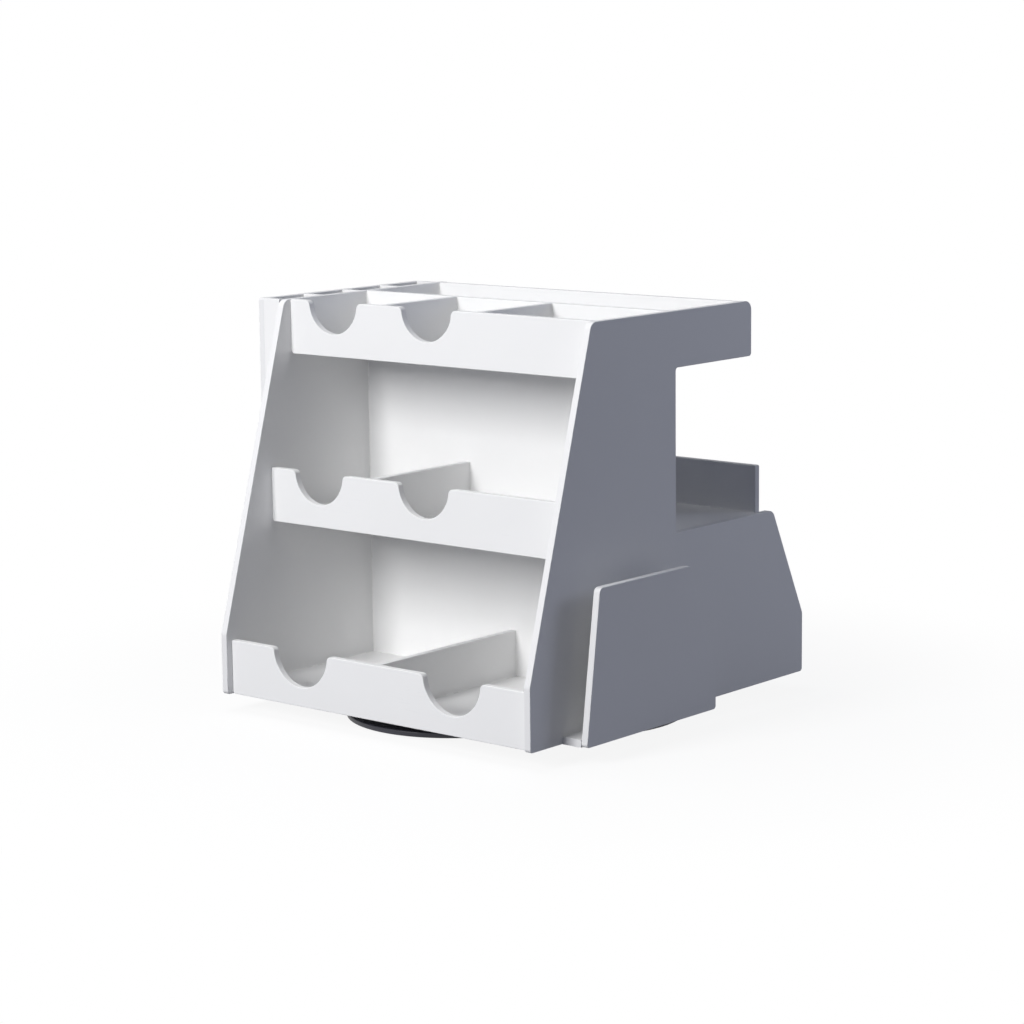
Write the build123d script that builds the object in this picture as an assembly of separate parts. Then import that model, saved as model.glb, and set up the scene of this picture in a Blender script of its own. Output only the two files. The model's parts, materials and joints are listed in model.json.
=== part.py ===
from build123d import *
import math
import os

# Rotating benchtop organizer, in millimetres.
# The origin is on the bench, on the spin axis. +X is the right-hand side, -Y the front, +Z up.
# The body is cut from flat PVC sheet, cemented edge to face, and turns on a flat ball bearing.

# Sheet stock
sheet = 6.35
edge_round = 0.6

# Body
body_width = 349.0
body_height = 338.4
foot_front = 190.5
foot_rear = 190.5
knee_height = 53.4
top_front = 109.0
top_rear = 111.0
shoulder_rear = 144.4
top_corner_radius = 8.0
knee_radius = 9.0
small_radius = 3.0
end_radius = 1.5

# Lips, one height on all three levels. The levels are evenly spaced between the foot and the top.
lip_height = 47.6

# How far each lip's outer face is set back from the panel edge beside it
low_lip_setback = 6.35
front_top_lip_setback = 7.2
rear_mid_lip_setback = 12.0
rear_top_lip_setback = 9.2

# How far the front middle lip's outer face stands from the centre plane
front_mid_lip_reach = 130.2

# Compartments and thumb notches
mid_compartment = 114.3
mid_second_notch = 121.0
top_compartment = 101.6
notch_radius = 28.2
low_notch_radius = 31.2
notch_entry_radius = 4.5

# Window cut into the right panel from behind
window_corner_radius = 3.0

# Literature pocket on the right side
pocket_gap = 19.05
pocket_front = 150.0
pocket_rear = 25.0
pocket_top_front = 132.0
pocket_top_rear = 9.4
pocket_height = 128.5
pocket_knee = 24.6
pocket_corner_radius = 5.0

# Pen rack on the left side
rack_gap = 19.05
rack_length = 208.0
rack_height = 101.6
pen_depth = 70.0
pen_slots = 4

# Turntable base, a square plate with wide round corners and a pad under each corner
pad_thickness = 1.5
pad_radius = 11.0
pad_inset = 17.0
base_side = 294.0
base_corner_radius = 95.0
base_thickness = 4.8
base_edge_round = 1.2
access_hole_radius = 8.0

# How far the base is turned from the body, which spins freely on it
base_turn = 40.0

# Ball bearing
plate_side = 152.4
plate_corner_radius = 9.0
plate_thickness = 1.2
ball_radius = 3.97
ball_clearance = 0.05
race_depth = 0.475
race_radius = 60.0
ball_count = 16
cage_thickness = 1.6
cage_width = 11.0
cage_pocket_clearance = 0.2

# Centre rivet and the pressed dish that makes room for its rims
rivet_inner_radius = 15.0
rivet_wall = 1.2
rivet_rim_width = 5.0
rivet_rim_thickness = 1.1
rivet_clearance = 0.4
rim_room = 0.2
dish_margin = 4.8

# Screws of the bearing plates
screw_inset = 9.5
screw_radius = 1.9
screw_hole_clearance = 0.3
screw_head_radius = 3.6
screw_head_height = 1.7
screw_crown = 1.0
screw_stop = 1.35
cross_length = 3.6
cross_width = 0.8
cross_depth = 0.9

# Bearing sizes that follow from the balls, the rivet and the plates
bearing_height = 2 * (plate_thickness + ball_radius + ball_clearance - race_depth)
rivet_outer = rivet_inner_radius + rivet_wall
rim_outer = rivet_outer + rivet_rim_width
dish_depth = rivet_rim_thickness + rivet_clearance + rim_room
dish_radius = rim_outer + dish_margin
screw_spread = plate_side / 2 - screw_inset
corner_reach = math.sqrt(2) * (base_side / 2 - base_corner_radius) + base_corner_radius
pad_circle = corner_reach - pad_inset

# Heights that follow from the stack
base_bottom = pad_thickness
base_top = base_bottom + base_thickness
foot = base_top + bearing_height
top = foot + body_height
top_level = top - lip_height
mid_level = (foot + top_level) / 2
ball_height = base_top + bearing_height / 2

# Sides that follow from the width
outer_side = body_width / 2
inner_side = outer_side - sheet
wall_face = sheet / 2
shelf_top_mid = mid_level + sheet

# Outer faces of the lips, as distances from the centre plane
front_low_lip_reach = foot_front - low_lip_setback
rear_low_lip_reach = foot_rear - low_lip_setback
front_top_lip_reach = top_front - front_top_lip_setback
rear_mid_lip_reach = shoulder_rear - rear_mid_lip_setback
rear_top_lip_reach = top_rear - rear_top_lip_setback

upright = (Align.CENTER, Align.CENTER, Align.MIN)
corner = (Align.MIN, Align.MIN, Align.MIN)
beyond = 1.0
near = 1e-4
parts = {}


# Flat sheets


def cut_sheet(outline, plane):
    """A sheet with the given outline, grown along the plane's normal, its face edges eased."""
    blank = extrude(plane * outline, sheet)
    broad_faces = blank.faces().filter_by(Axis(plane.origin, plane.z_dir))
    return fillet(broad_faces.edges(), edge_round)


def side_sheet(points, radii, x_low):
    """A sheet that stands along the side, its outline given as (y, z)."""
    outline = make_face(FilletPolyline(*points, radius=radii, close=True))
    return cut_sheet(outline, Plane(origin=(x_low, 0, 0), x_dir=(0, 1, 0), z_dir=(1, 0, 0)))


def block(x_low, x_high, y_low, y_high, z_low, z_high):
    """A square-edged strip or plate between the given limits."""
    size = Box(x_high - x_low, y_high - y_low, z_high - z_low, align=corner)
    return Pos(x_low, y_low, z_low) * size


def ease_top(board):
    """Rounds the two long edges along the top of a sheet that stands on edge."""
    top_edges = board.edges().group_by(Axis.Z)[-1]
    return fillet(top_edges.sort_by(SortBy.LENGTH)[-2:], edge_round)


def lip(outer_y, level, notches, radius=notch_radius):
    """A lip across the body, its outer face at outer_y, with round notches in its top edge."""
    half = inner_side
    low, high = level, level + lip_height
    points = [(-half, low), (half, low), (half, high), (-half, high)]
    radii = [small_radius, small_radius, end_radius, end_radius]
    outline = make_face(FilletPolyline(*points, radius=radii, close=True))
    for centre in notches:
        outline -= Pos(centre, high) * Circle(radius)
    mouth = [
        vertex for vertex in outline.vertices()
        if abs(vertex.Y - high) < near
        and any(abs(abs(vertex.X - centre) - radius) < near for centre in notches)
    ]
    if mouth:
        outline = fillet(mouth, notch_entry_radius)
    y_high = outer_y if outer_y > 0 else outer_y + sheet
    return cut_sheet(outline, Plane(origin=(0, y_high, 0), x_dir=(1, 0, 0), z_dir=(0, -1, 0)))


# Side panels

front_outline = [(-foot_front, foot), (-foot_front, foot + knee_height), (-top_front, top)]
front_radii = [small_radius, knee_radius, top_corner_radius]
rear_foot = [(foot_rear, foot + knee_height), (foot_rear, foot)]
rear_foot_radii = [knee_radius, small_radius]

parts["left_side_panel"] = side_sheet(
    front_outline + [(top_rear, top), (shoulder_rear, shelf_top_mid)] + rear_foot,
    front_radii + [top_corner_radius, knee_radius] + rear_foot_radii,
    -outer_side,
)

window = [
    (top_rear, top),
    (top_rear, top_level),
    (wall_face, top_level),
    (wall_face, shelf_top_mid),
    (shoulder_rear, shelf_top_mid),
]
window_radii = [
    top_corner_radius,
    small_radius,
    window_corner_radius,
    window_corner_radius,
    top_corner_radius,
]
parts["right_side_panel"] = side_sheet(
    front_outline + window + rear_foot,
    front_radii + window_radii + rear_foot_radii,
    inner_side,
)

# Floor, centre wall and shelves

floor_front = -(front_low_lip_reach - sheet)
floor_rear = rear_low_lip_reach - sheet
floor_top = foot + sheet
parts["floor_plate"] = block(-inner_side, inner_side, floor_front, floor_rear, foot, floor_top)
parts["centre_wall"] = ease_top(
    block(-inner_side, inner_side, -wall_face, wall_face, floor_top, top)
)
for name, level, reach, side in (
    ("front_mid_shelf", mid_level, front_mid_lip_reach, -1),
    ("front_top_shelf", top_level, front_top_lip_reach, -1),
    ("rear_mid_shelf", mid_level, rear_mid_lip_reach, 1),
    ("rear_top_shelf", top_level, rear_top_lip_reach, 1),
):
    ends = sorted((side * wall_face, side * (reach - sheet)))
    parts[name] = block(-inner_side, inner_side, ends[0], ends[1], level, level + sheet)

# Lips. The low bays have a notch on the middle of each half, the trays one in each of two bays.

low_notch = (inner_side + wall_face) / 2
mid_notch = -inner_side + mid_compartment / 2
top_notch = -inner_side + top_compartment / 2
low_notches = (-low_notch, low_notch)
mid_notches = (mid_notch, mid_notch + mid_second_notch)
top_notches = (top_notch, top_notch + top_compartment + sheet)

parts["front_low_lip"] = lip(-front_low_lip_reach, foot, low_notches, low_notch_radius)
parts["front_mid_lip"] = lip(-front_mid_lip_reach, mid_level, mid_notches)
parts["front_top_lip"] = lip(-front_top_lip_reach, top_level, top_notches)
parts["rear_low_lip"] = lip(rear_low_lip_reach, foot, low_notches, low_notch_radius)
parts["rear_mid_lip"] = lip(rear_mid_lip_reach, mid_level, ())
parts["rear_top_lip"] = lip(rear_top_lip_reach, top_level, ())

# Dividers, each from the back of its lip to the centre wall


def divider(x_low, reach, level):
    """A low wall that keeps two bays apart, its left face at x_low."""
    front = -(reach - sheet)
    crest = level + lip_height
    return ease_top(block(x_low, x_low + sheet, front, -wall_face, level + sheet, crest))


top_first = -inner_side + top_compartment
top_second = top_first + sheet + top_compartment
parts["low_divider"] = divider(-wall_face, front_low_lip_reach, foot)
parts["mid_divider"] = divider(-inner_side + mid_compartment, front_mid_lip_reach, mid_level)
parts["top_divider_left"] = divider(top_first, front_top_lip_reach, top_level)
parts["top_divider_right"] = divider(top_second, front_top_lip_reach, top_level)

# Literature pocket, a strip and a plate outside the right panel

parts["pocket_floor"] = block(
    outer_side, outer_side + pocket_gap, -pocket_front, pocket_rear, foot, floor_top
)
parts["pocket_plate"] = side_sheet(
    [
        (-pocket_front, foot),
        (-pocket_top_front, foot + pocket_height),
        (-pocket_top_rear, foot + pocket_height),
        (pocket_rear, foot + pocket_knee),
        (pocket_rear, foot),
    ],
    [small_radius, pocket_corner_radius, pocket_corner_radius, small_radius, small_radius],
    outer_side + pocket_gap,
)

# Pen rack outside the left panel: caps at both ends, dividers that stand on the floor strip

rack_in = -outer_side
rack_out = rack_in - rack_gap
rack_front = -top_front
rack_rear = rack_front + rack_length
rack_low = top - rack_height
pen_floor = top - pen_depth
slot_length = (rack_length - (pen_slots + 1) * sheet) / pen_slots

parts["rack_plate"] = side_sheet(
    [(rack_front, rack_low), (rack_rear, rack_low), (rack_rear, top), (rack_front, top)],
    [small_radius, small_radius, end_radius, end_radius],
    rack_out - sheet,
)
parts["rack_floor"] = block(
    rack_out, rack_in, rack_front + sheet, rack_rear - sheet, pen_floor - sheet, pen_floor
)


def rack_upright(start, low):
    """A short wall across the pen rack, its front face at start."""
    return ease_top(block(rack_out, rack_in, start, start + sheet, low, top))


parts["rack_front_cap"] = rack_upright(rack_front, rack_low)
parts["rack_rear_cap"] = rack_upright(rack_rear - sheet, rack_low)
for number in range(1, pen_slots):
    start = rack_front + number * (slot_length + sheet)
    parts[f"pen_divider_{number}"] = rack_upright(start, pen_floor)

# Turntable base. It and what is fixed to it are laid out square, then turned together.


def polar_points(radius, count, start):
    """Evenly spaced points on a circle, the first one turned by start degrees."""
    turns = [math.radians(start + 360 * number / count) for number in range(count)]
    return [(radius * math.cos(turn), radius * math.sin(turn)) for turn in turns]


screw_points = [(x, y) for x in (-screw_spread, screw_spread) for y in (-screw_spread, screw_spread)]
screw_circle = math.hypot(screw_spread, screw_spread)

base_outline = RectangleRounded(base_side, base_side, base_corner_radius)
base_plate = Pos(0, 0, base_bottom) * extrude(base_outline, base_thickness)
rims = base_plate.faces().filter_by(Axis.Z).edges()
base_plate = fillet(rims, base_edge_round)
base_plate -= Pos(screw_circle, 0, base_bottom) * Cylinder(
    access_hole_radius, base_thickness, align=upright
)

turned = Rot(0, 0, base_turn)
pads = [
    turned * Pos(x, y, 0) * Cylinder(pad_radius, pad_thickness, align=upright)
    for x, y in polar_points(pad_circle, 4, 45)
]
parts["rubber_pads"] = Compound(children=pads)

# Bearing plates, pressed from flat steel with a ball race and a central dish


def race_ring():
    """The ring that the balls sweep, with their running clearance."""
    return Pos(0, 0, ball_height) * Torus(race_radius, ball_radius + ball_clearance)


def bearing_plate(flat_low, inward):
    """A square plate with its flat at flat_low. inward is +1 when the balls are above it."""
    square = RectangleRounded(plate_side, plate_side, plate_corner_radius)
    plate = Pos(0, 0, flat_low) * extrude(square, plate_thickness)
    dish_low = flat_low + inward * dish_depth
    dish_high = dish_low + plate_thickness
    outer_radius = dish_radius + dish_depth
    low = min(flat_low, dish_low) - beyond
    high = max(flat_low, dish_low) + plate_thickness + beyond
    plate -= Pos(0, 0, low) * Cylinder(outer_radius, high - low, align=upright)
    bore = rivet_outer + rivet_clearance
    profile = Polyline(
        (bore, dish_low),
        (dish_radius, dish_low),
        (outer_radius, flat_low),
        (outer_radius, flat_low + plate_thickness),
        (dish_radius, dish_high),
        (bore, dish_high),
        close=True,
    )
    plate += revolve(Plane.XZ * make_face(profile), Axis.Z)
    plate -= race_ring()
    hole_radius = screw_radius + screw_hole_clearance
    for x, y in screw_points:
        plate -= Pos(x, y, low) * Cylinder(hole_radius, high - low, align=upright)
    return plate


upper_flat = foot - plate_thickness
parts["bearing_lower_plate"] = turned * bearing_plate(base_top, 1)
parts["bearing_upper_plate"] = bearing_plate(upper_flat, -1)

ball_points = polar_points(race_radius, ball_count, 180 / ball_count)
balls = [Pos(x, y, ball_height) * Sphere(ball_radius) for x, y in ball_points]
parts["bearing_balls"] = Compound(children=balls)

cage_outer = race_radius + cage_width / 2
cage_inner = race_radius - cage_width / 2
ring = Circle(cage_outer) - Circle(cage_inner)
for x, y in ball_points:
    ring -= Pos(x, y) * Circle(ball_radius + cage_pocket_clearance)
parts["ball_cage"] = Pos(0, 0, ball_height - cage_thickness / 2) * extrude(ring, cage_thickness)

# Hollow rivet: its rims lie in the two dishes and keep the plates together

lower_dish = base_top + dish_depth
upper_dish = upper_flat - dish_depth + plate_thickness
lower_rim = lower_dish - rivet_clearance
rivet_profile = Polyline(
    (rivet_inner_radius, lower_rim - rivet_rim_thickness),
    (rim_outer, lower_rim - rivet_rim_thickness),
    (rim_outer, lower_rim),
    (rivet_outer, lower_rim),
    (rivet_outer, upper_dish),
    (rim_outer, upper_dish),
    (rim_outer, upper_dish + rivet_rim_thickness),
    (rivet_inner_radius, upper_dish + rivet_rim_thickness),
    close=True,
)
parts["centre_rivet"] = revolve(Plane.XZ * make_face(rivet_profile), Axis.Z)

# Screws of the two plates


def pan_screw(board):
    """A pan-head screw into a board of that thickness, pointing down from its head at z = 0."""
    head = Cylinder(screw_head_radius, screw_head_height, align=upright)
    crown = head.edges().group_by(Axis.Z)[-1]
    head = fillet(crown, screw_crown)
    for length, width in ((cross_length, cross_width), (cross_width, cross_length)):
        head -= Pos(0, 0, screw_head_height - cross_depth) * Box(
            length, width, cross_depth, align=upright
        )
    shank_length = plate_thickness + board - screw_stop
    shank = Pos(0, 0, -shank_length) * Cylinder(screw_radius, shank_length, align=upright)
    point = shank.edges().group_by(Axis.Z)[0]
    return head + chamfer(point, screw_radius / 2)


lower_head = base_top + plate_thickness
lower_screws = [Pos(x, y, lower_head) * pan_screw(base_thickness) for x, y in screw_points]
upside_down = Rot(180, 0, 0)
upper_screws = [Pos(x, y, upper_flat) * upside_down * pan_screw(sheet) for x, y in screw_points]
parts["lower_plate_screws"] = Compound(children=[turned * screw for screw in lower_screws])
parts["upper_plate_screws"] = Compound(children=upper_screws)

# Each screw cuts its own seat in the sheet that it holds to

for screw in lower_screws:
    base_plate -= screw
parts["base_plate"] = turned * base_plate
for screw in upper_screws:
    parts["floor_plate"] -= screw

os.makedirs("parts", exist_ok=True)
for name, shape in parts.items():
    export_step(shape, f"parts/{name}.step")
    print(name, "solids", len(shape.solids()), "volume", round(shape.volume, 1))
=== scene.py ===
import json
import math

import bmesh
import bpy
from bpy.props import FloatProperty, FloatVectorProperty, PointerProperty
from bpy.types import Operator, Panel, PropertyGroup
from mathutils import Matrix, Vector


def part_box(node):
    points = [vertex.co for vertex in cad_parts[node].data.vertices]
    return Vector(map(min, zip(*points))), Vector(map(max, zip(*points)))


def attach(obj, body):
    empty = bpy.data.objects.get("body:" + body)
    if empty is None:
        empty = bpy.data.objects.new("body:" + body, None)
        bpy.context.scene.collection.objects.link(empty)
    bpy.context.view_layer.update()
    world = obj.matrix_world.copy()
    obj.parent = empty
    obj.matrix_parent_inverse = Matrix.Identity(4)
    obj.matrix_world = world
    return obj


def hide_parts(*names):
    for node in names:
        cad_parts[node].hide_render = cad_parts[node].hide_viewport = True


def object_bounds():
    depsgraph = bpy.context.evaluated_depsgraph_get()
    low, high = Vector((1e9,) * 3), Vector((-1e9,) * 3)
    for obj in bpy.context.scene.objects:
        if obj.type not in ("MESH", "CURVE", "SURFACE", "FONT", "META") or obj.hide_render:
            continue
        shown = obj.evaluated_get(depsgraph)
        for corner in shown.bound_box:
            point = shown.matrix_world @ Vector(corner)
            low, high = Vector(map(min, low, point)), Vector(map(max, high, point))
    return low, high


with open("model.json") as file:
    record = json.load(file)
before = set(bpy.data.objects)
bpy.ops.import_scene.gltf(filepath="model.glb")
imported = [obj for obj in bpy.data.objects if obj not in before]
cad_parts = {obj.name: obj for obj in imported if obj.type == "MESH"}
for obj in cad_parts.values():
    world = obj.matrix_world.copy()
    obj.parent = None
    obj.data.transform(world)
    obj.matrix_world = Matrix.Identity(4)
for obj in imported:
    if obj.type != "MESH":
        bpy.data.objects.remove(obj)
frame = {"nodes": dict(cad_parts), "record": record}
cad_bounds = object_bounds()

bl_info = {
    "name": "Rotating Benchtop Organizer",
    "version": (1, 0, 0),
    "blender": (4, 5, 0),
    "location": "3D View > Sidebar > Organizer",
    "description": "Finishes the sheets, cement joints and turntable of a rotating organizer and lights it",
    "category": "Object",
}

MM = 0.001
UP = Vector((0, 0, 1))
BODY = "organizer"
BASE = "turntable_base"

# Colours of wear, dust and the studio, with full alpha

SCUFFED_SHEET = (0.70, 0.70, 0.71, 1.0)
RUBBED_SHEET = (0.97, 0.97, 0.97, 1.0)
DUST_ON_BLACK = (0.30, 0.29, 0.27, 1.0)
DUST_IN_RUBBER = (0.16, 0.155, 0.145, 1.0)
RUBBED_ZINC = (0.42, 0.42, 0.43, 1.0)
GREASE = (0.55, 0.53, 0.47, 1.0)
PAPER = (0.92, 0.92, 0.93, 1.0)
WHITE = (1.0, 1.0, 1.0, 1.0)

# Numbers for the meshes. The end gap is in bead widths, and the waves are in radians per metre

MERGE_DISTANCE = 1e-7
SMOOTH_ANGLE = math.radians(35.0)
BEAD_END_GAP = 1.3
BEAD_FACETS = 4
SLOW_WAVE = Vector((190, 210, 230))
QUICK_WAVE = Vector((470, 430, 410))
PAD_STEPS = 48

# Stage, in metres

KEY_PLACE = Vector((-0.25, -2.18, 1.26))
KEY_SIZE = (0.7, 1.1)
TOP_PLACE = Vector((-0.45, -0.35, 2.2))
TOP_SIZE = (1.2, 1.2)
SIDE_PLACE = Vector((1.5, 1.3, 0.9))
SIDE_SIZE = (0.9, 0.9)
NEUTRAL_LIGHT = (1.0, 1.0, 1.0)
COOL_LIGHT = (0.74, 0.80, 1.0)
FLOOR_RADIUS = 12.0
FLOOR_SEGMENTS = 96
SHADOW_FADE = (0.24, 0.6)
CLIP_RANGE = (0.05, 60.0)
SENSOR_WIDTH_MM = 36.0

# Layout of a finished material in the node editor

NODES_PER_COLUMN = 5
COLUMN_STEP = 240
ROW_STEP = 300


# Sizes and colours that a user would change


def colour_property(name, description, default):
    """A linear colour for the sidebar."""
    return FloatVectorProperty(
        name=name, description=description, subtype="COLOR", size=3, min=0, max=1, default=default
    )


def length_property(name, description, default):
    """A length for the sidebar, its default in millimetres."""
    return FloatProperty(
        name=name, description=description, unit="LENGTH", min=0, precision=5, default=default * MM
    )


class SheetFinish(PropertyGroup):
    """Finish of the white plastic sheet."""

    face_colour: colour_property("Face", "Colour of the broad faces", (0.83, 0.83, 0.828))
    edge_colour: colour_property("Cut edge", "Colour of the routed edges", (0.76, 0.76, 0.762))
    dust_colour: colour_property("Dust", "Colour of the dust in the corners", (0.62, 0.60, 0.57))
    face_roughness: FloatProperty(
        name="Face roughness", description="Roughness of the broad faces", subtype="FACTOR",
        min=0, max=1, default=0.46,
    )
    edge_roughness: FloatProperty(
        name="Edge roughness", description="Roughness of the routed edges", subtype="FACTOR",
        min=0, max=1, default=0.62,
    )
    grain_size: length_property("Grain size", "Width of a grain of the pressed surface", 0.7)
    grain_depth: length_property("Grain depth", "Depth of the pressed grain", 0.018)
    cutter_pitch: length_property("Cutter marks", "Spacing of the marks on a routed edge", 0.5)
    cutter_depth: length_property("Cutter mark depth", "Depth of the marks on a routed edge", 0.05)


class CementFinish(PropertyGroup):
    """Solvent cement in the inside corners."""

    bead_width: length_property("Bead width", "How far a bead reaches along each sheet", 1.1)
    step: length_property("Bead step", "Length of one step along a bead", 9.0)
    unevenness: FloatProperty(
        name="Unevenness", description="How much the width of a bead changes", subtype="FACTOR",
        min=0, max=0.5, default=0.22,
    )
    colour: colour_property("Cement", "Colour of the dried cement", (0.86, 0.86, 0.85))


class TurntableFinish(PropertyGroup):
    """Finish of the base plate, its pads and its bearing."""

    base_colour: colour_property("Base", "Colour of the black base plate", (0.020, 0.020, 0.030))
    base_turn: FloatProperty(
        name="Base turn", description="How far the base is turned from the body", subtype="ANGLE",
        default=math.radians(40.0),
    )
    rim_wear_colour: colour_property("Rim wear", "Colour of the rubbed rim", (0.12, 0.12, 0.13))
    pad_colour: colour_property("Pads", "Colour of the rubber pads", (0.022, 0.022, 0.022))
    steel_colour: colour_property("Plated steel", "Colour of the zinc plating", (0.62, 0.63, 0.65))
    ball_colour: colour_property("Balls", "Colour of the ball steel", (0.74, 0.74, 0.76))
    cage_colour: colour_property("Cage", "Colour of the ball cage", (0.74, 0.71, 0.63))
    pad_radius: length_property("Pad radius", "Radius of one rubber pad", 11.0)
    tread_pitch: length_property("Tread pitch", "Distance from one ring groove to the next", 2.4)
    tread_depth: length_property("Tread depth", "Depth of the ring grooves", 0.5)


class StudioLook(PropertyGroup):
    """Camera, lamps and floor."""

    target: FloatVectorProperty(
        name="Target", description="Point that the camera looks at", subtype="TRANSLATION",
        unit="LENGTH", default=(-0.00153, -0.00129, 0.16824),
    )
    azimuth: FloatProperty(
        name="Azimuth", description="Turn of the camera about the organizer", subtype="ANGLE",
        default=math.radians(40.128),
    )
    elevation: FloatProperty(
        name="Elevation", description="Height angle of the camera", subtype="ANGLE",
        default=math.radians(9.536),
    )
    roll: FloatProperty(
        name="Roll", description="Tilt of the camera about its own line of sight", subtype="ANGLE",
        default=math.radians(-0.6235),
    )
    distance: length_property("Distance", "Distance from the camera to its target", 2551.8)
    lens: FloatProperty(
        name="Lens", description="Focal length on a 36 mm frame", unit="CAMERA", default=102.453
    )
    floor_colour: colour_property("Floor", "Colour of the floor", (0.14, 0.145, 0.18))
    fill_colour: colour_property("Fill", "Colour of the light from all around", (0.69, 0.75, 1.0))
    fill_level: FloatProperty(
        name="Fill level", description="Strength of the light from all around", min=0, default=0.10
    )
    key_power: FloatProperty(
        name="Key power", description="Power of the softbox in front", unit="POWER", min=0, default=53.5
    )
    top_power: FloatProperty(
        name="Top power", description="Power of the softbox above", unit="POWER", min=0, default=15.5
    )
    side_power: FloatProperty(
        name="Side power", description="Power of the softbox behind on the right", unit="POWER",
        min=0, default=6.8,
    )


# Node trees


class Tree:
    """Adds nodes to a material or a node group, and sets or links their inputs."""

    def __init__(self, tree):
        self.tree = tree

    def feed(self, entry, value):
        """Links an input if the value is a socket, and sets it otherwise."""
        if isinstance(value, bpy.types.NodeSocket):
            self.tree.links.new(value, entry)
        else:
            entry.default_value = value

    def add(self, kind, inputs=None, **settings):
        """A new node with its settings, and its inputs linked or set."""
        node = self.tree.nodes.new(kind)
        for name, value in settings.items():
            setattr(node, name, value)
        for name, value in (inputs or {}).items():
            self.feed(node.inputs[name], value)
        return node

    def math(self, operation, *values):
        """One arithmetic step."""
        return self.add("ShaderNodeMath", dict(enumerate(values)), operation=operation).outputs[0]

    def vector(self, operation, *values, output="Vector"):
        """One step of vector arithmetic."""
        node = self.add("ShaderNodeVectorMath", dict(enumerate(values)), operation=operation)
        return node.outputs[output]

    def ramp(self, value, low, high, to_low=0.0, to_high=1.0):
        """A smooth change from to_low to to_high while the value goes from low to high."""
        limits = {"Value": value, "From Min": low, "From Max": high, "To Min": to_low, "To Max": to_high}
        node = self.add("ShaderNodeMapRange", limits, interpolation_type="SMOOTHSTEP")
        return node.outputs["Result"]

    def noise(self, vector, scale, detail=2.0, roughness=0.5):
        """Soft noise between 0 and 1."""
        inputs = {"Vector": vector, "Scale": scale, "Detail": detail, "Roughness": roughness}
        return self.add("ShaderNodeTexNoise", inputs).outputs["Fac"]

    def mix(self, factor, first, second):
        """A blend of two colours, which a Mix node takes at inputs 6 and 7 and gives at output 2."""
        return self.add("ShaderNodeMix", {0: factor, 6: first, 7: second}, data_type="RGBA").outputs[2]

    def group(self, name, **inputs):
        """A shared effect, placed with its own values."""
        node = self.add("ShaderNodeGroup", node_tree=bpy.data.node_groups[name])
        for label, value in inputs.items():
            self.feed(node.inputs[socket_name(label)], value)
        return node.outputs

    def bump(self, height, depth, normal=None):
        """A bump whose height of 1 stands for the given depth in metres."""
        inputs = {"Height": height, "Distance": depth, "Strength": 1.0}
        if normal is not None:
            inputs["Normal"] = normal
        return self.add("ShaderNodeBump", inputs).outputs["Normal"]


def socket_name(label):
    """A keyword such as grain_size as the name of a group's socket, Grain size."""
    return label.replace("_", " ").capitalize()


def opaque(colour, tone=1.0):
    """A colour with full alpha, made darker or lighter by its tone."""
    return (*(tone * part for part in colour), 1.0)


def new_group(name, inputs, outputs):
    """An empty shader group with its sockets. Returns its tree, its inputs and its output node."""
    group = bpy.data.node_groups.new(name, "ShaderNodeTree")
    for label, kind, value in inputs:
        socket = group.interface.new_socket(label, in_out="INPUT", socket_type="NodeSocket" + kind)
        socket.default_value = value
    for label, kind in outputs:
        group.interface.new_socket(label, in_out="OUTPUT", socket_type="NodeSocket" + kind)
    tree = Tree(group)
    return tree, tree.add("NodeGroupInput").outputs, tree.add("NodeGroupOutput")


def finish_group(tree, output, **results):
    """Links the results to the group's outputs."""
    for label, socket in results.items():
        tree.feed(output.inputs[socket_name(label)], socket)


def pressed_grain_group():
    """The fine dimpled surface of a pressed sheet, with faint clouds of tone."""
    tree, given, output = new_group(
        "pressed grain",
        [("Place", "Vector", (0, 0, 0)), ("Grain size", "Float", 0.001), ("Cloud size", "Float", 0.06)],
        [("Height", "Float"), ("Clouds", "Float")],
    )
    grain_scale = tree.math("DIVIDE", 1.0, given["Grain size"])
    cloud_scale = tree.math("DIVIDE", 1.0, given["Cloud size"])
    finish_group(
        tree, output,
        height=tree.noise(given["Place"], grain_scale, detail=3.0, roughness=0.55),
        clouds=tree.noise(given["Place"], cloud_scale, detail=2.0),
    )


def routed_edge_group():
    """Where a sheet shows its cut edge, and the marks and pores that the cutter leaves there."""
    tree, given, output = new_group(
        "routed edge",
        [
            ("Place", "Vector", (0, 0, 0)),
            ("Facing", "Vector", (0, 0, 1)),
            ("Broad side", "Vector", (0, 0, 1)),
            ("Pitch", "Float", 0.0005),
        ],
        [("Mask", "Float"), ("Marks", "Float"), ("Pores", "Float")],
    )
    along = tree.vector("DOT_PRODUCT", given["Facing"], given["Broad side"], output="Value")
    mask = tree.ramp(tree.math("ABSOLUTE", along), 0.72, 0.96, to_low=1.0, to_high=0.0)
    depth = tree.vector("DOT_PRODUCT", given["Place"], given["Broad side"], output="Value")
    stretch, pores_per_metre = 0.93, 1400.0
    taken_out = {0: given["Broad side"], "Scale": tree.math("MULTIPLY", depth, stretch)}
    streak = tree.add("ShaderNodeVectorMath", taken_out, operation="SCALE")
    stretched = tree.vector("SUBTRACT", given["Place"], streak.outputs[0])
    marks = tree.noise(stretched, tree.math("DIVIDE", 1.0, given["Pitch"]), detail=1.0)
    cells = tree.add("ShaderNodeTexVoronoi", {"Vector": given["Place"], "Scale": pores_per_metre})
    pores = tree.ramp(cells.outputs["Distance"], 0.12, 0.24, to_low=1.0, to_high=0.0)
    finish_group(tree, output, mask=mask, marks=marks, pores=tree.math("MULTIPLY", pores, mask))


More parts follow.
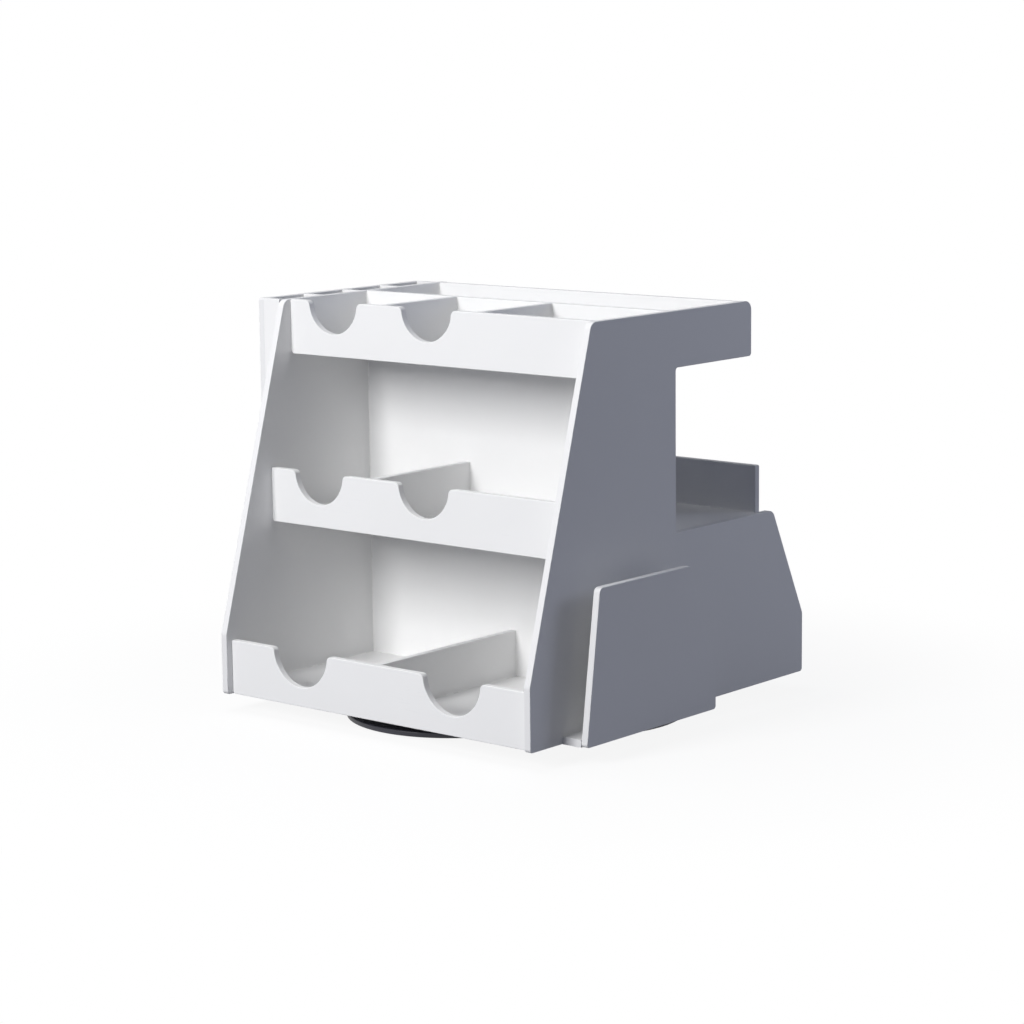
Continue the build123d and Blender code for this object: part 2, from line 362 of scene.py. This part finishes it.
def edge_wear_group():
    """Where corners are rubbed: the eased normal turns away from the true one."""
    tree, given, output = new_group(
        "edge wear",
        [
            ("Place", "Vector", (0, 0, 0)),
            ("Width", "Float", 0.0008),
            ("Patch size", "Float", 0.02),
            ("Amount", "Float", 0.5),
        ],
        [("Mask", "Float")],
    )
    eased = tree.add("ShaderNodeBevel", {"Radius": given["Width"]}, samples=6).outputs["Normal"]
    true = tree.add("ShaderNodeNewGeometry").outputs["True Normal"]
    turn = tree.math("SUBTRACT", 1.0, tree.vector("DOT_PRODUCT", eased, true, output="Value"))
    corner = tree.ramp(turn, 0.02, 0.22)
    patches = tree.noise(given["Place"], tree.math("DIVIDE", 1.0, given["Patch size"]), detail=4.0)
    rubbed = tree.ramp(patches, 0.42, 0.68)
    worn = tree.math("MULTIPLY", corner, rubbed)
    finish_group(tree, output, mask=tree.math("MULTIPLY", worn, given["Amount"]))


def light_scuffs_group():
    """Fine scratches in two directions, in loose patches."""
    tree, given, output = new_group(
        "light scuffs",
        [("Place", "Vector", (0, 0, 0)), ("Length", "Float", 0.05), ("Amount", "Float", 0.3)],
        [("Mask", "Float")],
    )
    scale = tree.math("DIVIDE", 1.0, given["Length"])
    turns = ((0.3, 0.5, 0.9), (1.1, -0.4, -0.7))
    narrowing, half_width, patches_per_metre = (1.0, 22.0, 22.0), 0.007, 14.0
    lines = []
    for turn in turns:
        mapping = tree.add(
            "ShaderNodeMapping", {"Vector": given["Place"], "Rotation": turn, "Scale": narrowing}
        )
        value = tree.noise(mapping.outputs[0], scale, detail=0.0)
        off_line = tree.math("ABSOLUTE", tree.math("SUBTRACT", value, 0.5))
        lines.append(tree.ramp(off_line, 0.0, half_width, to_low=1.0, to_high=0.0))
    both = tree.math("MAXIMUM", *lines)
    patches = tree.ramp(tree.noise(given["Place"], patches_per_metre, detail=3.0), 0.52, 0.72)
    scratched = tree.math("MULTIPLY", both, patches)
    finish_group(tree, output, mask=tree.math("MULTIPLY", scratched, given["Amount"]))


def settled_dust_group():
    """Thin dust on what faces up."""
    tree, given, output = new_group(
        "settled dust",
        [("Place", "Vector", (0, 0, 0)), ("Facing", "Vector", (0, 0, 1)), ("Amount", "Float", 0.1)],
        [("Mask", "Float")],
    )
    upward = tree.ramp(tree.add("ShaderNodeSeparateXYZ", {0: given["Facing"]}).outputs["Z"], 0.6, 0.98)
    drifts_per_metre, specks_per_metre = 18.0, 900.0
    drift_share, speck_share = 0.7, 0.3
    drift = tree.noise(given["Place"], drifts_per_metre, detail=6.0, roughness=0.62)
    drift = tree.math("MULTIPLY", tree.ramp(drift, 0.35, 0.75), drift_share)
    specks = tree.noise(given["Place"], specks_per_metre, detail=1.0)
    specks = tree.math("MULTIPLY", tree.ramp(specks, 0.56, 0.72), speck_share)
    lying = tree.math("MULTIPLY", upward, tree.math("ADD", drift, specks))
    finish_group(tree, output, mask=tree.math("MULTIPLY", lying, given["Amount"]))


def shared_groups():
    """Builds each shared effect once."""
    if "pressed grain" not in bpy.data.node_groups:
        pressed_grain_group()
        routed_edge_group()
        edge_wear_group()
        light_scuffs_group()
        settled_dust_group()


def new_material(name):
    """A material with an empty tree. Returns it, its tree and the object's own coordinates."""
    shared_groups()
    material = bpy.data.materials.new(name)
    material.use_nodes = True
    material.node_tree.nodes.clear()
    tree = Tree(material.node_tree)
    return material, tree, tree.add("ShaderNodeTexCoord").outputs


def finish_material(tree, **inputs):
    """The surface shader with its inputs, linked to the output."""
    named = {label.replace("_", " ").title(): value for label, value in inputs.items()}
    surface = tree.add("ShaderNodeBsdfPrincipled", named)
    tree.add("ShaderNodeOutputMaterial", {"Surface": surface.outputs["BSDF"]})
    for index, node in enumerate(tree.tree.nodes):
        column, row = divmod(index, NODES_PER_COLUMN)
        node.location = (column * COLUMN_STEP, -row * ROW_STEP)


def dress(names, material):
    """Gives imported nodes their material."""
    for name in names:
        mesh = frame["nodes"][name].data
        mesh.materials.clear()
        mesh.materials.append(material)


# Materials


def sheet_material(name, broad_side, finish):
    """White sheet whose broad faces look along broad_side."""
    material, tree, own = new_material(name)
    place, facing = own["Object"], own["Normal"]
    grain = tree.group("pressed grain", place=place, grain_size=finish.grain_size, cloud_size=0.07)
    edge = tree.group(
        "routed edge", place=place, facing=facing, broad_side=broad_side, pitch=finish.cutter_pitch
    )
    wear = tree.group("edge wear", place=place, width=0.9 * MM, patch_size=0.03, amount=0.35)["Mask"]
    scuffs = tree.group("light scuffs", place=place, length=0.06, amount=0.32)["Mask"]
    dust = tree.group("settled dust", place=place, facing=facing, amount=0.10)["Mask"]
    cloudy, face = opaque(finish.face_colour, tone=0.965), opaque(finish.face_colour)
    pore_dirt, pore_depth, cloud_roughness, dust_roughness = 0.24, 0.4, 0.06, 1.2
    colour = tree.mix(grain["Clouds"], cloudy, face)
    colour = tree.mix(edge["Mask"], colour, opaque(finish.edge_colour))
    soiled = tree.math("MULTIPLY", edge["Pores"], pore_dirt)
    colour = tree.mix(soiled, colour, opaque(finish.dust_colour))
    colour = tree.mix(scuffs, colour, SCUFFED_SHEET)
    colour = tree.mix(wear, colour, RUBBED_SHEET)
    colour = tree.mix(dust, colour, opaque(finish.dust_colour))
    rough = tree.ramp(edge["Mask"], 0.0, 1.0, finish.face_roughness, finish.edge_roughness)
    rough = tree.math("ADD", rough, tree.math("MULTIPLY", grain["Clouds"], cloud_roughness))
    rough = tree.math("ADD", rough, tree.math("MULTIPLY", dust, dust_roughness))
    flat = tree.bump(grain["Height"], finish.grain_depth)
    cut = tree.math("MULTIPLY", edge["Mask"], edge["Marks"])
    cut = tree.math("SUBTRACT", cut, tree.math("MULTIPLY", edge["Pores"], pore_depth))
    normal = tree.bump(cut, finish.cutter_depth, flat)
    finish_material(tree, base_color=colour, roughness=rough, normal=normal)
    return material


def cement_material(cement):
    """Solvent cement, dried glossy."""
    material, tree, own = new_material("dried cement")
    grain = tree.group("pressed grain", place=own["Object"], grain_size=4 * MM, cloud_size=0.02)
    colour = tree.mix(grain["Clouds"], opaque(cement.colour), opaque(cement.colour, tone=0.94))
    rough = tree.ramp(grain["Clouds"], 0.2, 0.8, to_low=0.16, to_high=0.38)
    normal = tree.bump(grain["Height"], depth=0.05 * MM)
    finish_material(tree, base_color=colour, roughness=rough, normal=normal)
    return material


def base_material(turntable):
    """Black plastic base: fine grain, a routed rim with light wear, dust on its top."""
    material, tree, own = new_material("black base")
    place, facing = own["Object"], own["Normal"]
    grain = tree.group("pressed grain", place=place, grain_size=0.9 * MM, cloud_size=0.05)
    edge = tree.group("routed edge", place=place, facing=facing, broad_side=UP, pitch=0.6 * MM)
    wear = tree.group("edge wear", place=place, width=1.2 * MM, patch_size=0.012, amount=0.7)["Mask"]
    scuffs = tree.group("light scuffs", place=place, length=0.05, amount=0.4)["Mask"]
    dust = tree.group("settled dust", place=place, facing=facing, amount=0.10)["Mask"]
    dust_roughness = 1.5
    pale = opaque(turntable.base_colour, tone=1.5)
    colour = tree.mix(grain["Clouds"], opaque(turntable.base_colour), pale)
    colour = tree.mix(tree.math("MAXIMUM", wear, scuffs), colour, opaque(turntable.rim_wear_colour))
    colour = tree.mix(dust, colour, DUST_ON_BLACK)
    rough = tree.ramp(grain["Clouds"], 0.2, 0.8, to_low=0.34, to_high=0.46)
    rough = tree.math("ADD", rough, tree.math("MULTIPLY", dust, dust_roughness))
    flat = tree.bump(grain["Height"], depth=0.02 * MM)
    cut = tree.math("MULTIPLY", edge["Mask"], edge["Marks"])
    normal = tree.bump(cut, depth=0.04 * MM, normal=flat)
    finish_material(tree, base_color=colour, roughness=rough, normal=normal)
    return material


def rubber_material(turntable):
    """Black rubber with a fine matte grain and grey dust in it."""
    material, tree, own = new_material("pad rubber")
    grain = tree.group("pressed grain", place=own["Object"], grain_size=0.4 * MM, cloud_size=0.006)
    soiled = tree.ramp(grain["Clouds"], 0.45, 0.8, to_low=0.0, to_high=0.25)
    colour = tree.mix(soiled, opaque(turntable.pad_colour), DUST_IN_RUBBER)
    rough = tree.ramp(grain["Clouds"], 0.2, 0.8, to_low=0.72, to_high=0.88)
    normal = tree.bump(grain["Height"], depth=0.05 * MM)
    finish_material(tree, base_color=colour, roughness=rough, normal=normal)
    return material


def plated_material(turntable):
    """Zinc plated sheet steel, rolled in one direction, with duller clouds."""
    material, tree, own = new_material("zinc plated steel")
    place = own["Object"]
    narrowing, lines_per_metre = (1.0, 30.0, 1.0), 120.0
    rolled = tree.add("ShaderNodeMapping", {"Vector": place, "Scale": narrowing}).outputs[0]
    lines = tree.noise(rolled, lines_per_metre, detail=3.0)
    grain = tree.group("pressed grain", place=place, grain_size=3 * MM, cloud_size=0.015)
    wear = tree.group("edge wear", place=place, width=0.6 * MM, patch_size=0.01, amount=0.6)["Mask"]
    steel, dull = opaque(turntable.steel_colour), opaque(turntable.steel_colour, tone=0.78)
    colour = tree.mix(tree.ramp(grain["Clouds"], 0.35, 0.7), steel, dull)
    colour = tree.mix(wear, colour, RUBBED_ZINC)
    rough = tree.ramp(lines, 0.25, 0.75, to_low=0.26, to_high=0.44)
    normal = tree.bump(lines, depth=0.006 * MM)
    finish_material(tree, base_color=colour, metallic=1.0, roughness=rough, normal=normal)
    return material


def ball_material(turntable):
    """Ground ball steel with a trace of grease."""
    material, tree, own = new_material("ball steel")
    grain = tree.group("pressed grain", place=own["Object"], grain_size=2 * MM, cloud_size=0.004)
    greased = tree.ramp(grain["Clouds"], 0.5, 0.75)
    colour = tree.mix(greased, opaque(turntable.ball_colour), GREASE)
    rough = tree.ramp(grain["Clouds"], 0.4, 0.8, to_low=0.07, to_high=0.26)
    normal = tree.bump(grain["Height"], depth=0.002 * MM)
    finish_material(tree, base_color=colour, metallic=1.0, roughness=rough, normal=normal)
    return material


def cage_material(turntable):
    """Natural nylon, slightly mottled."""
    material, tree, own = new_material("cage nylon")
    grain = tree.group("pressed grain", place=own["Object"], grain_size=1.2 * MM, cloud_size=0.01)
    mottled = opaque(turntable.cage_colour, tone=0.85)
    colour = tree.mix(grain["Clouds"], opaque(turntable.cage_colour), mottled)
    rough = tree.ramp(grain["Clouds"], 0.2, 0.8, to_low=0.35, to_high=0.5)
    normal = tree.bump(grain["Height"], depth=0.01 * MM)
    finish_material(tree, base_color=colour, roughness=rough, normal=normal)
    return material


# Meshes


def low(node):
    """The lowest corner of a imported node."""
    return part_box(node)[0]


def high(node):
    """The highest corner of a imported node."""
    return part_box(node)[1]


def new_piece(name, bm, material, body):
    """Turns a bmesh into a piece that rides on a body and has a material slot of the part."""
    bmesh.ops.remove_doubles(bm, verts=bm.verts, dist=MERGE_DISTANCE)
    bmesh.ops.recalc_face_normals(bm, faces=bm.faces)
    mesh = bpy.data.meshes.new(name)
    bm.to_mesh(mesh)
    bm.free()
    mesh.materials.append(material)
    mesh.shade_smooth()
    mesh.set_sharp_from_angle(angle=SMOOTH_ANGLE)
    piece = bpy.data.objects.new(name, mesh)
    bpy.context.scene.collection.objects.link(piece)
    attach(piece, body)
    return piece


def waviness(place, amount):
    """A factor near 1 that changes smoothly along a bead."""
    slow_share, quick_share, slow_start = 0.6, 0.4, 1.0
    slow = math.sin(place.dot(SLOW_WAVE) + slow_start)
    quick = math.sin(place.dot(QUICK_WAVE))
    return 1 + amount * (slow_share * slow + quick_share * quick)


def add_bead(bm, start, end, first, second, cement):
    """A hollow-faced bead from start to end in the corner between two sheets.

    first and second point from the corner along each sheet into the open. The bead stops short of
    both ends, so that beads that meet in a corner don't cross.
    """
    width = cement.bead_width
    run = (end - start).normalized()
    gap = run * width * BEAD_END_GAP
    start, end = start + gap, end - gap
    count = max(2, round((end - start).length / cement.step))
    corner = bm.verts.new(start)
    foot = bm.verts.new(start + first * width)
    curve = bmesh.ops.spin(
        bm, geom=[foot], cent=start + (first + second) * width, axis=first.cross(second),
        angle=-math.pi / 2, steps=BEAD_FACETS,
    )
    tip = curve["geom_last"][0]
    bm.edges.new((corner, foot))
    bm.edges.new((tip, corner))
    bm.edges.ensure_lookup_table()
    ring = bm.edges[-2:] + [edge for edge in bm.edges[:-2] if edge.is_wire]
    size = 1.0
    for number in range(count + 1):
        if number:
            grown = bmesh.ops.extrude_edge_only(bm, edges=ring)["geom"]
            ring = [item for item in grown if isinstance(item, bmesh.types.BMEdge)]
            moved = [item for item in grown if isinstance(item, bmesh.types.BMVert)]
            bmesh.ops.translate(bm, verts=moved, vec=(end - start) / count)
        else:
            moved = list({vert for edge in ring for vert in edge.verts})
        here = start.lerp(end, number / count)
        wanted = waviness(here, cement.unevenness)
        bmesh.ops.scale(bm, verts=moved, vec=(wanted / size,) * 3, space=Matrix.Translation(-here))
        size = wanted


# The way into a bay from its front, right, back and left wall

INWARD = (Vector((0, 1, 0)), Vector((-1, 0, 0)), Vector((0, -1, 0)), Vector((1, 0, 0)))


def add_bay_beads(bm, floor_corner, far_corner, tops, cement):
    """Beads along the foot and up the corners of a bay.

    tops has the top of the front, right, back and left wall, or None where that side is open.
    """
    x, y = (floor_corner.x, far_corner.x), (floor_corner.y, far_corner.y)
    floor = floor_corner.z
    corners = [Vector((x[0], y[0], floor)), Vector((x[1], y[0], floor)),
               Vector((x[1], y[1], floor)), Vector((x[0], y[1], floor))]
    for side in range(4):
        following = (side + 1) % 4
        if tops[side] is None:
            continue
        add_bead(bm, corners[side], corners[following], INWARD[side], UP, cement)
        if tops[following] is not None:
            foot = corners[following]
            crest = foot.copy()
            crest.z = min(tops[side], tops[following])
            add_bead(bm, foot, crest, INWARD[side], INWARD[following], cement)


def close_ends(bm):
    """Closes the two open ends of every bead."""
    bmesh.ops.holes_fill(bm, edges=[edge for edge in bm.edges if edge.is_boundary])


# Operators


class ORGANIZER_OT_white_sheets(Operator):
    """Finish every white sheet, its broad faces and its routed edges"""

    bl_idname = "organizer.white_sheets"
    bl_label = "White Sheets"

    def execute(self, context):
        finish = context.scene.organizer_sheet
        sides = {
            0: ("sheet standing along", Vector((1, 0, 0))),
            1: ("sheet standing across", Vector((0, 1, 0))),
            2: ("sheet lying level", Vector((0, 0, 1))),
        }
        white = [
            part["node"] for part in frame["record"]["subparts"] if part["material_slot"] == "white_sheet"
        ]
        for axis, (name, broad_side) in sides.items():
            material = sheet_material(name, broad_side, finish)
            dress([node for node in white if thin_axis(node) == axis], material)
        return {"FINISHED"}


def thin_axis(node):
    """The axis along which a sheet is thinnest."""
    size = high(node) - low(node)
    return min(range(3), key=lambda axis: size[axis])


class ORGANIZER_OT_cement_beads(Operator):
    """Lay solvent cement along the inside corners of the bays"""

    bl_idname = "organizer.cement_beads"
    bl_label = "Cement Beads"

    def execute(self, context):
        cement = context.scene.organizer_cement
        material = cement_material(cement)
        for name, build in (
            ("front_bay_beads", front_bays),
            ("rear_bay_beads", rear_bays),
            ("shelf_underside_beads", shelf_undersides),
            ("pen_rack_beads", pen_slots),
            ("pocket_beads", pocket_joints),
        ):
            bm = bmesh.new()
            build(bm, cement)
            close_ends(bm)
            new_piece(name, bm, material, BODY)
        return {"FINISHED"}


def front_bays(bm, cement):
    """The bays between the front lips and the centre wall."""
    left, right = high("left_side_panel").x, low("right_side_panel").x
    wall = low("centre_wall").y
    levels = (
        ("floor_plate", "front_low_lip", ("low_divider",), low("front_mid_shelf").z),
        ("front_mid_shelf", "front_mid_lip", ("mid_divider",), low("front_top_shelf").z),
        (
            "front_top_shelf", "front_top_lip", ("top_divider_left", "top_divider_right"),
            high("centre_wall").z,
        ),
    )
    for shelf, lip, dividers, ceiling in levels:
        crest = high(lip).z
        starts = [(left, ceiling)] + [(high(name).x, crest) for name in dividers]
        ends = [(low(name).x, crest) for name in dividers] + [(right, ceiling)]
        for (x_start, left_top), (x_end, right_top) in zip(starts, ends):
            floor_corner = Vector((x_start, high(lip).y, high(shelf).z))
            tops = (crest, right_top, ceiling, left_top)
            add_bay_beads(bm, floor_corner, Vector((x_end, wall, ceiling)), tops, cement)


def rear_bays(bm, cement):
    """The bays behind the centre wall. The middle one is open to the right, through the window."""
    left, right = high("left_side_panel").x, low("right_side_panel").x
    wall = high("centre_wall").y
    levels = (
        ("floor_plate", "rear_low_lip", low("rear_mid_shelf").z, True),
        ("rear_mid_shelf", "rear_mid_lip", low("rear_top_shelf").z, False),
        ("rear_top_shelf", "rear_top_lip", high("centre_wall").z, True),
    )
    for shelf, lip, ceiling, closed in levels:
        tops = (ceiling, ceiling if closed else None, high(lip).z, ceiling)
        floor_corner = Vector((left, wall, high(shelf).z))
        add_bay_beads(bm, floor_corner, Vector((right, low(lip).y, ceiling)), tops, cement)


def shelf_undersides(bm, cement):
    """The joints under the shelves, at the centre wall and at both side panels."""
    left, right = high("left_side_panel").x, low("right_side_panel").x
    down = -UP
    for shelf in ("front_mid_shelf", "front_top_shelf", "rear_mid_shelf", "rear_top_shelf"):
        near, far = low(shelf), high(shelf)
        front = near.y < low("centre_wall").y
        wall, inward = (far.y, INWARD[2]) if front else (near.y, INWARD[0])
        add_bead(bm, Vector((left, wall, near.z)), Vector((right, wall, near.z)), inward, down, cement)
        sides = [(left, INWARD[3])]
        if shelf != "rear_top_shelf":
            sides.append((right, INWARD[1]))
        for x, away in sides:
            add_bead(bm, Vector((x, near.y, near.z)), Vector((x, far.y, near.z)), away, down, cement)


def pen_slots(bm, cement):
    """The slots of the pen rack."""
    uprights = ["rack_front_cap", "pen_divider_1", "pen_divider_2", "pen_divider_3", "rack_rear_cap"]
    floor, crest = high("rack_floor").z, high("rack_plate").z
    for before, after in zip(uprights, uprights[1:]):
        floor_corner = Vector((high("rack_plate").x, high(before).y, floor))
        far_corner = Vector((low("left_side_panel").x, low(after).y, crest))
        add_bay_beads(bm, floor_corner, far_corner, (crest,) * 4, cement)


def pocket_joints(bm, cement):
    """The floor strip of the literature pocket, at the panel and at the plate."""
    near, far = low("pocket_floor"), high("pocket_floor")
    for x, away in ((near.x, INWARD[3]), (far.x, INWARD[1])):
        add_bead(bm, Vector((x, near.y, far.z)), Vector((x, far.y, far.z)), away, UP, cement)


class ORGANIZER_OT_rubber_pads(Operator):
    """Mould the rubber pads, with a rounded rim and ring grooves underneath"""

    bl_idname = "organizer.rubber_pads"
    bl_label = "Rubber Pads"

    def execute(self, context):
        turntable = context.scene.organizer_turntable
        bm = bmesh.new()
        corners = [turntable.base_turn + math.radians(turn) for turn in (45, 135, 225, 315)]
        circle = (high("rubber_pads").y - turntable.pad_radius) / max(math.sin(turn) for turn in corners)
        for turn in corners:
            add_pad(bm, Vector((circle * math.cos(turn), circle * math.sin(turn), 0)), turntable)
        piece = new_piece("moulded_pads", bm, rubber_material(turntable), BASE)
        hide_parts("rubber_pads")
        return {"FINISHED"}


def add_pad(bm, centre, turntable):
    """One pad, its section spun about its own axis."""
    radius, height = turntable.pad_radius, high("rubber_pads").z
    groove, depth = turntable.tread_pitch, turntable.tread_depth
    easing, mouth, root = 0.35 * MM, 0.3 * groove, 0.15 * groove
    outline = [(0, height), (radius - easing, height), (radius, height - easing), (radius, easing),
               (radius - easing, 0)]
    middle = radius - groove
    while middle > groove:
        outline += [(middle + mouth, 0), (middle + root, depth), (middle - root, depth),
                    (middle - mouth, 0)]
        middle -= groove
    outline.append((0, 0))
    chain = [bm.verts.new(centre + Vector((reach, 0, level))) for reach, level in outline]
    links = [bm.edges.new(pair) for pair in zip(chain, chain[1:])]
    bmesh.ops.spin(
        bm, geom=chain + links, cent=centre, axis=UP, angle=math.tau, steps=PAD_STEPS, use_merge=True,
    )


class ORGANIZER_OT_turntable(Operator):
    """Finish the base plate, the bearing plates, the balls and their cage"""

    bl_idname = "organizer.turntable"
    bl_label = "Turntable"

    def execute(self, context):
        turntable = context.scene.organizer_turntable
        dress(["base_plate"], base_material(turntable))
        dress(["rubber_pads"], rubber_material(turntable))
        dress(["bearing_balls"], ball_material(turntable))
        dress(["ball_cage"], cage_material(turntable))
        plated = ["bearing_lower_plate", "bearing_upper_plate", "centre_rivet", "lower_plate_screws",
                  "upper_plate_screws"]
        dress(plated, plated_material(turntable))
        return {"FINISHED"}


class ORGANIZER_OT_stage(Operator):
    """Set up the floor, the softboxes and the camera"""

    bl_idname = "organizer.stage"
    bl_label = "Stage"

    def execute(self, context):
        look = context.scene.organizer_studio
        context.scene.view_settings.view_transform = "Standard"
        lay_floor(look)
        light_world(context.scene, look)
        hang_softbox("key_softbox", KEY_PLACE, KEY_SIZE, look.key_power, NEUTRAL_LIGHT)
        hang_softbox("top_softbox", TOP_PLACE, TOP_SIZE, look.top_power, NEUTRAL_LIGHT)
        hang_softbox("side_softbox", SIDE_PLACE, SIDE_SIZE, look.side_power, COOL_LIGHT)
        place_camera(context.scene, look)
        return {"FINISHED"}


def seen_directly(tree):
    """1 for what the camera sees, also through a mirror or glass, and 0 for light that falls on things."""
    path = tree.add("ShaderNodeLightPath").outputs
    mirrored = tree.math("MAXIMUM", path["Is Glossy Ray"], path["Is Transmission Ray"])
    return tree.math("MAXIMUM", path["Is Camera Ray"], mirrored)


def lay_floor(look):
    """A round floor that looks white, keeps the shadow near the organizer and gives little light back."""
    bm = bmesh.new()
    bmesh.ops.create_circle(bm, cap_ends=True, radius=FLOOR_RADIUS, segments=FLOOR_SEGMENTS)
    mesh = bpy.data.meshes.new("floor")
    bm.to_mesh(mesh)
    bm.free()
    floor = bpy.data.objects.new("floor", mesh)
    bpy.context.scene.collection.objects.link(floor)
    material = bpy.data.materials.new("studio floor")
    material.use_nodes = True
    material.node_tree.nodes.clear()
    tree = Tree(material.node_tree)
    place = tree.add("ShaderNodeTexCoord").outputs["Object"]
    distance = tree.vector("LENGTH", place, output="Value")
    shadowless = tree.ramp(distance, *SHADOW_FADE, to_low=0.9, to_high=1.0)
    lit = tree.add("ShaderNodeBsdfDiffuse", {"Color": opaque(look.floor_colour)}).outputs[0]
    paper = tree.add("ShaderNodeBsdfDiffuse", {"Color": PAPER}).outputs[0]
    white = tree.add("ShaderNodeEmission", {"Color": WHITE, "Strength": 1.0}).outputs[0]
    shown = tree.add("ShaderNodeMixShader", {0: shadowless, 1: paper, 2: white}).outputs[0]
    surface = tree.add("ShaderNodeMixShader", {0: seen_directly(tree), 1: lit, 2: shown}).outputs[0]
    tree.add("ShaderNodeOutputMaterial", {"Surface": surface})
    mesh.materials.append(material)


def light_world(scene, look):
    """A dim cool light from all around, seen as plain white."""
    world = bpy.data.worlds.new("studio")
    world.use_nodes = True
    world.node_tree.nodes.clear()
    tree = Tree(world.node_tree)
    dim = {"Color": opaque(look.fill_colour), "Strength": look.fill_level}
    fill = tree.add("ShaderNodeBackground", dim).outputs[0]
    white = tree.add("ShaderNodeBackground", {"Color": WHITE, "Strength": 1.0}).outputs[0]
    seen = tree.add("ShaderNodeMixShader", {0: seen_directly(tree), 1: fill, 2: white}).outputs[0]
    tree.add("ShaderNodeOutputWorld", {"Surface": seen})
    scene.world = world


def hang_softbox(name, place, size, power, colour):
    """A softbox that looks at the middle of the organizer."""
    lamp = bpy.data.lights.new(name, "AREA")
    lamp.shape = "RECTANGLE"
    lamp.size, lamp.size_y = size
    lamp.energy = power
    lamp.color = colour
    softbox = bpy.data.objects.new(name, lamp)
    middle = (cad_bounds[0] + cad_bounds[1]) / 2
    turn = (place - middle).to_track_quat("Z", "Y").to_matrix().to_4x4()
    softbox.matrix_world = Matrix.Translation(place) @ turn
    bpy.context.scene.collection.objects.link(softbox)


def place_camera(scene, look):
    """The camera at the photographed angle."""
    camera = bpy.data.cameras.new("camera")
    camera.sensor_width = SENSOR_WIDTH_MM
    camera.lens = look.lens
    camera.clip_start, camera.clip_end = CLIP_RANGE
    seat = bpy.data.objects.new("camera", camera)
    turn = Matrix.Rotation(look.azimuth, 4, "Z") @ Matrix.Rotation(math.pi / 2 - look.elevation, 4, "X")
    roll = Matrix.Rotation(look.roll, 4, "Z")
    seat.matrix_world = (
        Matrix.Translation(look.target) @ turn @ roll @ Matrix.Translation((0, 0, look.distance))
    )
    scene.collection.objects.link(seat)
    scene.camera = seat


class ORGANIZER_PT_sidebar(Panel):
    """Lists the organizer's build steps and their settings"""

    bl_idname = "ORGANIZER_PT_sidebar"
    bl_label = "Organizer"
    bl_space_type = "VIEW_3D"
    bl_region_type = "UI"
    bl_category = "Organizer"

    def draw(self, context):
        for group, operators in STEPS:
            box = self.layout.box()
            settings = getattr(context.scene, group)
            for name in settings.__annotations__:
                box.prop(settings, name)
            for operator in operators:
                box.operator(operator.bl_idname)


STEPS = (
    ("organizer_sheet", (ORGANIZER_OT_white_sheets,)),
    ("organizer_cement", (ORGANIZER_OT_cement_beads,)),
    ("organizer_turntable", (ORGANIZER_OT_turntable, ORGANIZER_OT_rubber_pads)),
    ("organizer_studio", (ORGANIZER_OT_stage,)),
)
GROUPS = {
    "organizer_sheet": SheetFinish,
    "organizer_cement": CementFinish,
    "organizer_turntable": TurntableFinish,
    "organizer_studio": StudioLook,
}
OPERATORS = [operator for group, operators in STEPS for operator in operators]
CLASSES = (*GROUPS.values(), *OPERATORS, ORGANIZER_PT_sidebar)


def register():
    """Adds the classes, and their settings to every scene."""
    for cls in CLASSES:
        bpy.utils.register_class(cls)
    for name, cls in GROUPS.items():
        setattr(bpy.types.Scene, name, PointerProperty(type=cls))


def unregister():
    """Takes the settings and the classes away again."""
    for name in GROUPS:
        delattr(bpy.types.Scene, name)
    for cls in reversed(CLASSES):
        bpy.utils.unregister_class(cls)


def main():
    """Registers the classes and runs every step."""
    register()
    bpy.ops.organizer.white_sheets()
    bpy.ops.organizer.cement_beads()
    bpy.ops.organizer.turntable()
    bpy.ops.organizer.rubber_pads()
    bpy.ops.organizer.stage()


if __name__ == "__main__":
    main()
